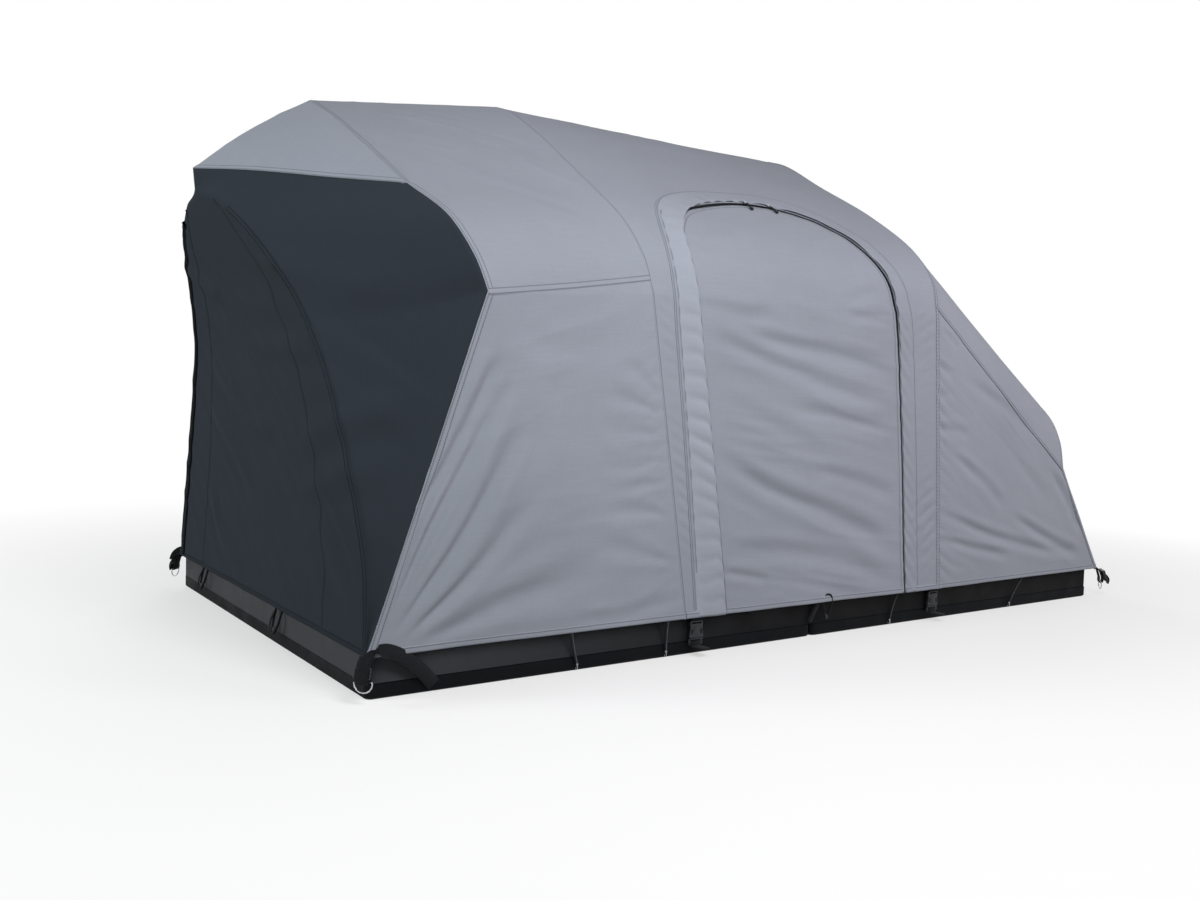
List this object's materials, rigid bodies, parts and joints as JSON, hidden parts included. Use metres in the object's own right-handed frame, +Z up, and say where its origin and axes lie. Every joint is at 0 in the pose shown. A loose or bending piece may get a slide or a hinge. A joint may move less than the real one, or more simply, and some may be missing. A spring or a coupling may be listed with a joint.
{
  "type": "roof top tent",
  "caption": "Soft-walled tent standing on a flat folding base, with a ridged arched roof, overhanging tall end, low nose and a zipped arched door in each side.",
  "frame": {"origin": "middle of the overall box, on the plane the base rests on", "axes": "+X from the tall end to the low nose, +Y across to the far side, +Z up"},
  "size_m": [2.2303, 1.2342, 1.158],
  "materials": {
    "fly": "coated plain-weave tent cloth, grey, matt",
    "fly_dark": "coated plain-weave tent cloth, charcoal, matt",
    "board": "black textured floor board edge",
    "wall": "grey coated skirt round the base",
    "foam": "foam mattress in a grey woven cover",
    "pole": "plain anodised tube",
    "hub": "black moulded plastic",
    "webbing": "black woven webbing",
    "buckle": "black moulded plastic",
    "zip": "black coil zip and pulls",
    "ring": "plated steel wire"
  },
  "bodies": {
    "tent": {"base_board_rear": "board", "base_board_front": "board", "base_wall": "wall", "mattress": "foam", "side_rail_near": "pole", "side_rail_far": "pole", "pole_rear_near": "pole", "pole_rear_far": "pole", "pole_mid_near": "pole", "pole_mid_far": "pole", "pole_front_near": "pole", "pole_front_far": "pole", "pole_inner": "pole", "pole_nose": "pole", "hub_rear": "hub", "hub_mid": "hub", "hub_front": "hub", "fly_rear_panel": "fly_dark", "fly_brow": "fly", "fly_rear_bay": "fly", "fly_door_bay": "fly", "fly_front_bay": "fly", "fly_nose": "fly", "zip_track_near": "zip", "zip_track_far": "zip", "corner_strap_rear_near": "webbing", "corner_strap_rear_far": "webbing", "corner_strap_nose_near": "webbing", "corner_strap_nose_far": "webbing", "buckle_socket_rear_near": "buckle", "buckle_socket_rear_far": "buckle", "buckle_socket_front_near": "buckle", "buckle_socket_front_far": "buckle", "hem_tie_near_1": "webbing", "hem_tie_near_2": "webbing", "hem_tie_near_3": "webbing", "hem_tie_near_4": "webbing", "hem_tie_far_1": "webbing", "hem_tie_far_2": "webbing", "hem_tie_far_3": "webbing", "hem_tie_far_4": "webbing", "door_tab_near": "webbing", "door_tab_far": "webbing", "rear_loop_1": "webbing", "rear_loop_2": "webbing"},
    "door_near": {"door_near": "fly"},
    "slider_near_a": {"zip_slider_near_a": "zip"},
    "slider_near_b": {"zip_slider_near_b": "zip"},
    "plug_rear_near": {"buckle_plug_rear_near": "buckle"},
    "plug_front_near": {"buckle_plug_front_near": "buckle"},
    "ring_rear_near": {"corner_ring_rear_near": "ring"},
    "ring_nose_near": {"corner_ring_nose_near": "ring"},
    "door_far": {"door_far": "fly"},
    "slider_far_a": {"zip_slider_far_a": "zip"},
    "slider_far_b": {"zip_slider_far_b": "zip"},
    "plug_rear_far": {"buckle_plug_rear_far": "buckle"},
    "plug_front_far": {"buckle_plug_front_far": "buckle"},
    "ring_rear_far": {"corner_ring_rear_far": "ring"},
    "ring_nose_far": {"corner_ring_nose_far": "ring"}
  },
  "joints": [
    {"name": "door_near_hinge", "type": "hinge", "parent": "tent", "child": "door_near", "pos_m": [-0.21816, -0.59174, 0.09504], "axis": [0.1037, -0.0666, -0.9924], "range_deg": [0, 100]},
    {"name": "slider_near_a_slide", "type": "slide", "parent": "door_near", "child": "slider_near_a", "axis": [0.9944, 0.0761, 0.073], "range_m": [-0.05, 0]},
    {"name": "slider_near_b_slide", "type": "slide", "parent": "door_near", "child": "slider_near_b", "axis": [0.9505, -0.2731, -0.1481], "range_m": [0, 0.04]},
    {"name": "plug_rear_near_slide", "type": "slide", "parent": "tent", "child": "plug_rear_near", "axis": [0, 0, -1], "range_m": [0, 0.014]},
    {"name": "plug_front_near_slide", "type": "slide", "parent": "tent", "child": "plug_front_near", "axis": [0, 0, -1], "range_m": [0, 0.014]},
    {"name": "ring_rear_near_swing", "type": "hinge", "parent": "tent", "child": "ring_rear_near", "pos_m": [-0.99598, -0.59978, 0.0403], "axis": [0.7071, -0.7071, 0], "range_deg": [-60, 60]},
    {"name": "ring_nose_near_swing", "type": "hinge", "parent": "tent", "child": "ring_nose_near", "pos_m": [1.10258, -0.59978, 0.0403], "axis": [0.7071, 0.7071, 0], "range_deg": [-60, 60]},
    {"name": "door_far_hinge", "type": "hinge", "parent": "tent", "child": "door_far", "pos_m": [-0.21816, 0.59174, 0.09504], "axis": [-0.1037, -0.0666, 0.9924], "range_deg": [0, 100]},
    {"name": "slider_far_a_slide", "type": "slide", "parent": "door_far", "child": "slider_far_a", "axis": [0.9944, -0.0761, 0.073], "range_m": [-0.05, 0]},
    {"name": "slider_far_b_slide", "type": "slide", "parent": "door_far", "child": "slider_far_b", "axis": [0.9505, 0.2731, -0.1481], "range_m": [0, 0.04]},
    {"name": "plug_rear_far_slide", "type": "slide", "parent": "tent", "child": "plug_rear_far", "axis": [0, 0, -1], "range_m": [0, 0.014]},
    {"name": "plug_front_far_slide", "type": "slide", "parent": "tent", "child": "plug_front_far", "axis": [0, 0, -1], "range_m": [0, 0.014]},
    {"name": "ring_rear_far_swing", "type": "hinge", "parent": "tent", "child": "ring_rear_far", "pos_m": [-0.99598, 0.59978, 0.0403], "axis": [-0.7071, -0.7071, 0], "range_deg": [-60, 60]},
    {"name": "ring_nose_far_swing", "type": "hinge", "parent": "tent", "child": "ring_nose_far", "pos_m": [1.10258, 0.59978, 0.0403], "axis": [-0.7071, 0.7071, 0], "range_deg": [-60, 60]}
  ]
}
